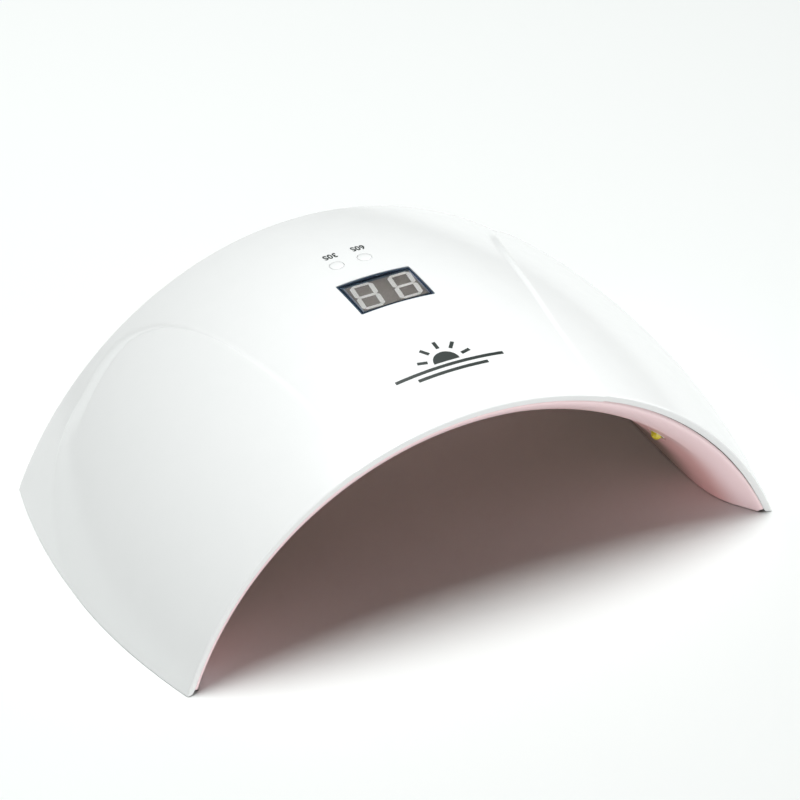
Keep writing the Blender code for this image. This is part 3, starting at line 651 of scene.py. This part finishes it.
steel = brushed("screw_steel", (0.42, 0.42, 0.43), (0.62, 0.62, 0.63), 0.22)
can = brushed("can_aluminium", (0.60, 0.60, 0.62), (0.78, 0.78, 0.80), 0.25)
lens_clear = clear("lens_clear", (0.97, 0.98, 1.0), 0.03)
smoked = clear("sensor_smoked", (0.10, 0.08, 0.12), 0.08)


# ================================================================ cover
def cover():
    mid_radius = (HALF_WIDTHS[1] ** 2 + CROWN_HEIGHTS[1] ** 2) / (2 * CROWN_HEIGHTS[1])
    round_arch = mid_radius * math.asin(HALF_WIDTHS[1] / mid_radius)
    half_arch = spaced((0.0, 36.0, 1.8), (36.0, 62.0, 0.45), (62.0, 100.0, 1.0), (100.0, round_arch, 1.3))
    turns = [-v / round_arch for v in reversed(half_arch[1:])] + [v / round_arch for v in half_arch]
    face = spaced((0.0, 58.0, 1.6), (58.0, FOOT_DEPTH, 0.55))
    back = spaced((0.0, FOOT_DEPTH, 9.0))
    section = wall_profile(FOOT_DEPTH, face, back, 0.0, -COVER_WALL, (0.6, 0.6), 0.3)
    bm = shell(skin, turns, section, FOOT_DEPTH)
    made = finished(bm, "cover", material=white)
    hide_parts("outer_cover")
    window = bmesh.new()
    size, middle = (*WINDOW_SIZE, OPENING_TOOL_LENGTH), (0.0, WINDOW_Y, OPENING_TOOL_Z)
    rounded_box(window, size, middle, 0.5, upright_only=True)
    tools = [tool(window, "window_tool")]
    for side in (-1, 1):
        middle = (BUTTON_MIDDLE_X + side * BUTTON_PITCH / 2, BUTTON_Y, OPENING_TOOL_Z)
        place = Matrix.Translation(Vector(middle) * MM)
        tools.append(rod_tool("button_tool", BUTTON_HOLE_RADIUS, OPENING_TOOL_LENGTH, place, 64))
    cut(made, tools)


# ================================================================ liner
def inner_liner():
    half_arch = spaced((0.0, 1.0, 0.0125))
    turns = [-v for v in reversed(half_arch[1:])] + half_arch
    rear_lip = LINER_LENGTH - LIP_DEPTH
    face = spaced((0.0, LIP_DEPTH, 0.8), (LIP_DEPTH, rear_lip, 1.6), (rear_lip, LINER_LENGTH, 0.8))
    back = spaced((0.0, LIP_DEPTH, 3.0), (LIP_DEPTH, rear_lip, 8.0), (rear_lip, LINER_LENGTH, 3.0))
    rim_out = LINER_INSET - COVER_WALL + 0.02
    section = wall_profile(LINER_LENGTH, face, back, 0.0, LINER_WALL, (4.5, 1.7), 0.15, rim_out)
    bm = shell(liner, turns, section, LINER_LENGTH)
    made = finished(bm, "liner", material=pink, smooth_angle=LINER_CREASE)
    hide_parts("inner_liner")
    cut(made, [tool(socket_housing(), "housing_tool")], "UNION", LINER_CREASE)
    tools = [tool(socket_space(), "socket_tool")]
    holes = [(turn, share, LED_HOLE_RADIUS) for share in STRIP_DEPTHS.values() for turn in LED_TURNS.values()]
    for turn, share, radius in [*holes, (0.0, SENSOR_DEPTH, SENSOR_HOLE_RADIUS)]:
        tools.append(rod_tool("hole_tool", radius, 12.0, facing(turn, share), 40))
    cut(made, tools, smooth_angle=LINER_CREASE)
    return made


def socket_housing():
    """The block under the rear of the crown that holds the socket."""
    width, length, height = SOCKET_SIZE
    low, high = SOCKET_TOP - height - GAP - LINER_WALL, SOCKET_TOP - 2.6
    bm = bmesh.new()
    size = (width + 2 * (GAP + LINER_WALL), length + 2.2, high - low)
    rounded_box(bm, size, (0.0, SOCKET_REAR - 0.4 - size[1] / 2, (low + high) / 2), 0.8)
    return bm


def socket_space():
    """The room for the socket, open at the rear and at the top."""
    size = [side + 2 * GAP + more for side, more in zip(SOCKET_SIZE, (0, 3, 6))]
    front, bottom = SOCKET_REAR - SOCKET_SIZE[1] - GAP, SOCKET_TOP - SOCKET_SIZE[2] - GAP
    bm = bmesh.new()
    box(bm, size, (0.0, front + size[1] / 2, bottom + size[2] / 2))
    return bm


# ================================================================ display
def on_skin(bm, lift):
    """Moves a flat shape, drawn in x and y with its thickness in z, up to the cover's outer face."""
    verts = list(bm.verts)
    flat = np.array([v.co for v in verts]) / MM
    heights = skin_height(flat[:, 0], flat[:, 1])
    for vert, height in zip(verts, heights):
        vert.co.z += (height + lift) * MM


def display_surround():
    half_width, half_depth = (size / 2 - BEZEL_GAP for size in WINDOW_SIZE)
    bm = bmesh.new()
    bmesh.ops.create_grid(bm, x_segments=24, y_segments=16, size=1.0)
    inner_width, inner_depth = (size / 2 - BEZEL_WALL for size in WINDOW_SIZE)
    columns = [-half_width, *spaced((-inner_width, inner_width, 2 * inner_width / 22)), half_width]
    rows = [-half_depth, *spaced((-inner_depth, inner_depth, 2 * inner_depth / 14)), half_depth]
    for vert in bm.verts:
        column, row = round((vert.co.x + 1) * 12), round((vert.co.y + 1) * 8)
        vert.co = Vector((columns[column], WINDOW_Y + rows[row], 0.0)) * MM
    opening = []
    for face in bm.faces:
        middle = face.calc_center_median() / MM
        if abs(middle.x) < inner_width and abs(middle.y - WINDOW_Y) < inner_depth:
            opening.append(face)
    bmesh.ops.delete(bm, geom=opening, context="FACES")
    on_skin(bm, -BEZEL_GAP)
    bmesh.ops.solidify(bm, geom=bm.faces[:], thickness=BEZEL_DEPTH * MM)
    bmesh.ops.recalc_face_normals(bm, faces=bm.faces[:])
    sharp = [e for e in bm.edges if len(e.link_faces) == 2 and e.calc_face_angle() > 1.0]
    bmesh.ops.bevel(bm, geom=sharp, offset=BEZEL_GAP * MM, segments=2, profile=0.5, affect="EDGES", material=-1)
    finished(bm, "display_surround", material=navy, replaces=["display_bezel"])


def display_lens():
    """A thin clear cover that follows the crown's curve."""
    width, depth = (size - 2 * BEZEL_WALL - 0.2 for size in WINDOW_SIZE)
    bm = bmesh.new()
    bmesh.ops.create_grid(bm, x_segments=24, y_segments=16, size=0.5)
    bmesh.ops.scale(bm, verts=bm.verts[:], vec=Vector((width * MM, depth * MM, 1.0)))
    bmesh.ops.translate(bm, verts=bm.verts[:], vec=Vector((0.0, WINDOW_Y * MM, 0.0)))
    on_skin(bm, -LENS_DROP)
    bmesh.ops.solidify(bm, geom=bm.faces[:], thickness=LENS_THICKNESS * MM)
    bmesh.ops.recalc_face_normals(bm, faces=bm.faces[:])
    finished(bm, "display_lens", material=lens_clear, replaces=["display_window"])


def segment(bm, centre, length, stroke, upright, bottom, height):
    """One bar of a digit, with both of its ends cut to a point."""
    verts = box(bm, (length, stroke, height), (0.0, 0.0, bottom + height / 2))
    ends = [e for v in verts for e in v.link_edges if abs((e.verts[0].co - e.verts[1].co).normalized().z) > 0.9]
    point = 0.46 * stroke * MM
    made = bmesh.ops.bevel(
        bm, geom=list(set(ends)), offset=point, segments=1, profile=0.5, affect="EDGES", material=-1
    )
    moved = {v for f in made["faces"] for v in f.verts} | {v for v in verts if v.is_valid}
    if upright:
        bmesh.ops.rotate(bm, verts=list(moved), cent=(0, 0, 0), matrix=Matrix.Rotation(math.pi / 2, 3, "Z"))
    bmesh.ops.translate(bm, verts=list(moved), vec=Vector((*centre, 0.0)) * MM)
    return moved


def digits():
    """The display's face plate and its two unlit seven-segment digits, which lean a little to the right."""
    height = DISPLAY_FACE - 0.3 - DISPLAY_BODY_TOP
    base = bmesh.new()
    rounded_box(base, (*DISPLAY_BASE, height), (0.0, WINDOW_Y, DISPLAY_BODY_TOP + height / 2), 0.1)
    finished(base, "display_surface", material=slate, replaces=["digit_tens", "digit_units"])
    plate_x, plate_y = DIGITS_AT[0], DIGITS_AT[1] - 0.1
    plate = bmesh.new()
    rounded_box(plate, (*DISPLAY_PLATE, 0.3), (plate_x, plate_y, DISPLAY_FACE - 0.27), 0.1)
    finished(plate, "display_face", material=face_grey)
    edges = bmesh.new()
    for side in (-1, 1):
        middle = (plate_x + side * 10.5, plate_y, DISPLAY_FACE - 0.24)
        rounded_box(edges, (0.35, DISPLAY_PLATE[1], 0.34), middle, 0.08)
    finished(edges, "display_edges", material=pale_edge)
    width, height = DIGIT_SIZE
    lean = math.tan(math.radians(DIGIT_LEAN))
    across, along = width - UPRIGHT_STROKE, (height - LEVEL_STROKE) / 2
    bm = bmesh.new()
    for side in (-1, 1):
        middle = side * DIGIT_PITCH / 2
        bars = [((0.0, row * along), across - 0.3, LEVEL_STROKE, False) for row in (-1, 0, 1)]
        for way in (-1, 1):
            for row in (-1, 1):
                bars.append(((way * across / 2, row * along / 2), along - 0.2, UPRIGHT_STROKE, True))
        for (x, y), length, stroke, upright in bars:
            points = segment(bm, (x, y), length, stroke, upright, DISPLAY_FACE - 0.2, 0.18)
            for vert in points:
                vert.co.x += vert.co.y * lean + (DIGITS_AT[0] + middle) * MM
                vert.co.y += DIGITS_AT[1] * MM
    finished(bm, "display_segments", material=segment_grey)


# ================================================================ buttons and print
def buttons():
    """The caps, each with a stem down to its switch and a collar that stays under the cover."""
    for name, side in (("30s", -1), ("60s", 1)):
        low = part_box(f"button_{name}")[0] / MM
        x = BUTTON_MIDDLE_X + side * BUTTON_PITCH / 2
        top = float(skin_height(x, BUTTON_Y)) + BUTTON_RISE
        rim = top - 0.25
        edge = BUTTON_RADIUS - BUTTON_EDGE_RADIUS
        profile = [(0.0, top + 0.08), (0.9, top + 0.06), (1.5, top + 0.01)]
        profile += arc_run(edge, rim, BUTTON_EDGE_RADIUS, 80, 0, 4)
        profile += [(edge + 0.22, rim - 0.15), (edge + 0.34, rim - 0.2), (edge + 0.34, low.z + 2.0)]
        profile += [(edge + 0.9, low.z + 2.0), (edge + 0.9, low.z + 1.2), (1.4, low.z + 1.2)]
        profile += [(1.4, low.z + 0.05), (0.0, low.z + 0.05)]
        bm = spun(profile, 56)
        rise_x = float(skin_height(x + 1, BUTTON_Y) - skin_height(x - 1, BUTTON_Y)) / 2
        rise_y = float(skin_height(x, BUTTON_Y + 1) - skin_height(x, BUTTON_Y - 1)) / 2
        for vert in bm.verts:
            if vert.co.z > (rim - 0.5) * MM:
                vert.co.z += vert.co.x * rise_x + vert.co.y * rise_y
        bmesh.ops.translate(bm, verts=bm.verts[:], vec=Vector((x, BUTTON_Y, 0.0)) * MM)
        node = f"button_{name}"
        finished(
            bm, f"button_cap_{name}", body=node, material=white, replaces=[node]
        )


def label(name, words, centre):
    """Words on the cover that are read from the rear."""
    text = bpy.data.curves.new(name, "FONT")
    text.body = words
    text.size = LABEL_SIZE * MM
    text.align_x, text.align_y = "CENTER", "CENTER"
    text.extrude = 0.02 * MM
    text.offset = LABEL_BOLDER * MM
    text.space_character = 1.05
    drawn = bpy.data.objects.new(f"{name}_drawing", text)
    bpy.context.scene.collection.objects.link(drawn)
    bpy.context.view_layer.update()
    mesh = bpy.data.meshes.new_from_object(drawn.evaluated_get(bpy.context.evaluated_depsgraph_get()))
    bpy.data.objects.remove(drawn)
    bm = bmesh.new()
    bm.from_mesh(mesh)
    bmesh.ops.remove_doubles(bm, verts=bm.verts[:], dist=0.000001)
    narrow = Matrix.Diagonal((LABEL_WIDTH_SHARE, 1.0, 1.0, 1.0))
    place = Matrix.Translation(Vector((*centre, 0.0)) * MM) @ Matrix.Rotation(math.pi, 4, "Z") @ narrow
    bmesh.ops.transform(bm, matrix=place, verts=bm.verts[:])
    on_skin(bm, PRINT_LIFT)
    bpy.data.meshes.remove(mesh)
    finished(bm, name, material=ink, smooth_angle=30)


def printed_mark():
    """A plain rising-sun mark printed on the front of the crown: a half disc, five rays and two ruled lines."""
    bm = bmesh.new()
    spokes = [bm.verts.new((MARK_RADIUS * k / 10 * MM, 0.0, 0.0)) for k in range(11)]
    edges = [bm.edges.new(pair) for pair in zip(spokes, spokes[1:])]
    bmesh.ops.spin(bm, geom=spokes + edges, axis=(0, 0, 1), cent=(0, 0, 0), steps=32, angle=math.pi)
    bmesh.ops.remove_doubles(bm, verts=bm.verts[:], dist=0.000001)
    for k in range(5):
        angle = math.radians(90 + (k - 2) * RAY_PITCH)
        ray = bmesh.ops.create_grid(bm, x_segments=4, y_segments=1, size=0.5)["verts"]
        bmesh.ops.scale(bm, verts=ray, vec=Vector((RAY_SIZE[0] * MM, RAY_SIZE[1] * MM, 1.0)))
        bmesh.ops.translate(bm, verts=ray, vec=Vector((RAY_FROM_MIDDLE * MM, 0.0, 0.0)))
        bmesh.ops.rotate(bm, verts=ray, cent=(0, 0, 0), matrix=Matrix.Rotation(angle, 3, "Z"))
    for length, drop in RULED_LINES:
        line = bmesh.ops.create_grid(bm, x_segments=48, y_segments=1, size=0.5)["verts"]
        bmesh.ops.scale(bm, verts=line, vec=Vector((length * MM, RULED_WIDTH * MM, 1.0)))
        bmesh.ops.translate(bm, verts=line, vec=Vector((0.0, -drop, 0.0)) * MM)
    bmesh.ops.translate(bm, verts=bm.verts[:], vec=Vector((*MARK_AT, 0.0)) * MM)
    bmesh.ops.recalc_face_normals(bm, faces=bm.faces[:])
    bmesh.ops.solidify(bm, geom=bm.faces[:], thickness=0.04 * MM)
    bmesh.ops.recalc_face_normals(bm, faces=bm.faces[:])
    on_skin(bm, PRINT_LIFT)
    finished(bm, "printed_mark", material=ink, smooth_angle=30)


# ================================================================ LEDs, sensor, socket, feet
def leds():
    for row, share in STRIP_DEPTHS.items():
        for column, turn in LED_TURNS.items():
            name = f"led_{row}_{column}"
            dome = arc_run(0.0, -0.2, LED_DOME_RADIUS, 90, 8, 10)
            profile = [(0.0, dome[0][1]), *dome[1:], (2.3, 0.0), (2.65, -0.15)]
            profile += [(2.65, -2.1), (3.55, -2.1), (3.55, -3.3), (0.0, -3.3)]
            bm = spun(profile, 40)
            for face in bm.faces:
                face.material_index = 0 if face.calc_center_median().z > -0.05 * MM else 1
            bmesh.ops.transform(bm, matrix=facing(turn, share), verts=bm.verts[:])
            finished(bm, f"{name}_lamp", material=[phosphor, mask_white], replaces=[name])


def sensor():
    bm = spun([(0.0, 0.08), (1.6, 0.02), *arc_run(2.2, -0.25, 0.25, 80, 0, 4), (2.45, -2.5), (0.0, -2.5)], 40)
    bmesh.ops.transform(bm, matrix=facing(0.0, SENSOR_DEPTH), verts=bm.verts[:])
    finished(bm, "sensor_lens", material=smoked, replaces=["sensor_window"])


def dc_socket():
    length, height = SOCKET_SIZE[1:]
    middle = SOCKET_TOP - height / 2
    bm = bmesh.new()
    rounded_box(bm, SOCKET_SIZE, (0.0, SOCKET_REAR - length / 2, middle), 0.35)
    made = finished(bm, "socket_case", material=black, replaces=["dc_socket"])
    profile = [(0.0, 2.0), (3.7, 2.0), (3.7, 0.05), (SOCKET_BORE, -0.5), (SOCKET_BORE, -9.4), (0.0, -9.4)]
    bore = spun(profile, 48)
    rear_middle = Matrix.Translation(Vector((0.0, SOCKET_REAR, middle)) * MM)
    lying = rear_middle @ Matrix.Rotation(math.radians(-90), 4, "X")
    bmesh.ops.transform(bore, matrix=lying, verts=bore.verts[:])
    cut(made, [tool(bore, "bore_tool")])


def foot_pads():
    for across in ("left", "right"):
        for along in ("front", "rear"):
            node = f"foot_pad_{along}_{across}"
            low, high = (corner_point / MM for corner_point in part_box(node))
            centre = (low + high) / 2
            radius = (high.x - low.x) / 2
            profile = [(0.0, high.z), (radius, high.z), *arc_run(radius - 0.35, 0.35, 0.35, 0, -90, 4)]
            profile += [(radius - 1.4, 0.0), (radius - 1.6, 0.15), (0.0, 0.15)]
            bm = spun(profile, 56)
            bmesh.ops.translate(bm, verts=bm.verts[:], vec=Vector((centre.x, centre.y, 0.0)) * MM)
            finished(bm, f"{node}_disc", material=rubber, replaces=[node])


# ================================================================ the frame's own pieces
FRAME_FINISHES = {
    "control_board": mask_green,
    "display_body": charcoal,
    "timer_chip": black,
    "driver_coil": charcoal,
    "capacitor": can,
    "switch_": charcoal,
    "plunger_": rubber,
    "sensor_module": charcoal,
    "led_strip_": mask_white,
    "lead_plus": red,
    "lead_strip_": red,
    "lead_minus": dark,
    "lead_sensor": dark,
    "foot_plate_": pink,
    "foot_screw_": steel,
    "board_screw_": steel,
    "dc_socket_pin": steel,
}


def finish_frame_nodes():
    for name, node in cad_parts.items():
        for start, finish in FRAME_FINISHES.items():
            if name.startswith(start):
                for place in node.material_slots:
                    place.material = finish


# ================================================================ studio
def studio(liner_piece):
    bm = bmesh.new()
    bmesh.ops.create_grid(bm, x_segments=8, y_segments=8, size=6.0)
    floor = finished(bm, "floor", body=None, material=floor_finish())

    # The fills light the lamp alone, as cards set close to it would, so its shade on the floor stays deep.
    floor_apart = bpy.data.collections.new("floor_apart")
    floor_apart.objects.link(floor)
    floor_apart.collection_objects[0].light_linking.link_state = "EXCLUDE"
    liner_alone = bpy.data.collections.new("liner_alone")
    liner_alone.objects.link(liner_piece)

    def area(name, size, place, power, colour=(1, 1, 1), lights=floor_apart):
        light = bpy.data.lights.new(name, "AREA")
        light.shape = "DISK"
        light.size = size
        light.energy = power
        light.color = colour
        made = bpy.data.objects.new(name, light)
        bpy.context.scene.collection.objects.link(made)
        made.location = place
        made.rotation_euler = (Vector((0, 0, 0.03)) - Vector(place)).to_track_quat("-Z", "Y").to_euler()
        made.light_linking.receiver_collection = lights

    faint_green = (0.985, 1.0, 0.995)
    area("top_softbox", 0.8, (-0.1, 0.15, 1.4), 22.2, faint_green, lights=None)
    area("front_fill", 1.2, (-0.4, -1.3, 0.12), 8.0)
    area("left_fill", 1.0, (-1.35, 0.25, 0.45), 0.3)
    area("tunnel_fill", 0.5, (-0.95, -0.7, 0.1), 4.0, lights=liner_alone)
    area("right_fill", 1.0, (1.05, -0.75, 0.6), 8.0)
    world = bpy.data.worlds.new("studio")
    bpy.context.scene.world = world
    world.use_nodes = True
    background = world.node_tree.nodes["Background"]
    background.inputs["Color"].default_value = (1.0, 0.9, 0.72, 1.0)
    background.inputs["Strength"].default_value = 0.025
    bpy.context.scene.view_settings.view_transform = "Standard"
    bpy.context.scene.view_settings.look = "None"


def floor_finish():
    return moulded("floor_white", (0.93, 0.95, 0.945), (0.94, 0.96, 0.955), 0.9, bump=0.0, drift=0.3, mottle=0.2)


def camera():
    data = bpy.data.cameras.new("camera")
    made = bpy.data.objects.new("camera", data)
    bpy.context.scene.collection.objects.link(made)
    azimuth, elevation, distance = math.radians(27.302), math.radians(35.242), 1.309
    level, fall = math.cos(elevation), math.sin(elevation)
    ahead = Vector((math.sin(azimuth) * level, math.cos(azimuth) * level, -fall))
    right = ahead.cross(Vector((0, 0, 1))).normalized()
    up = right.cross(ahead)
    shift_right, shift_up = -0.00149, 0.00447
    target = Vector((0.0, -0.009, 0.0327)) + right * shift_right + up * shift_up
    made.location = target - ahead * distance
    made.rotation_mode = "QUATERNION"
    made.rotation_quaternion = ahead.to_track_quat("-Z", "Y")
    data.sensor_width = 36.0
    data.lens = 203.9
    data.clip_start, data.clip_end = 0.01, 50.0
    bpy.context.scene.camera = made


camera()
cover()
studio(inner_liner())
display_surround()
display_lens()
digits()
buttons()
for label_name, (label_words, label_centre) in LABELS.items():
    label(label_name, label_words, label_centre)
printed_mark()
leds()
sensor()
dc_socket()
foot_pads()
finish_frame_nodes()
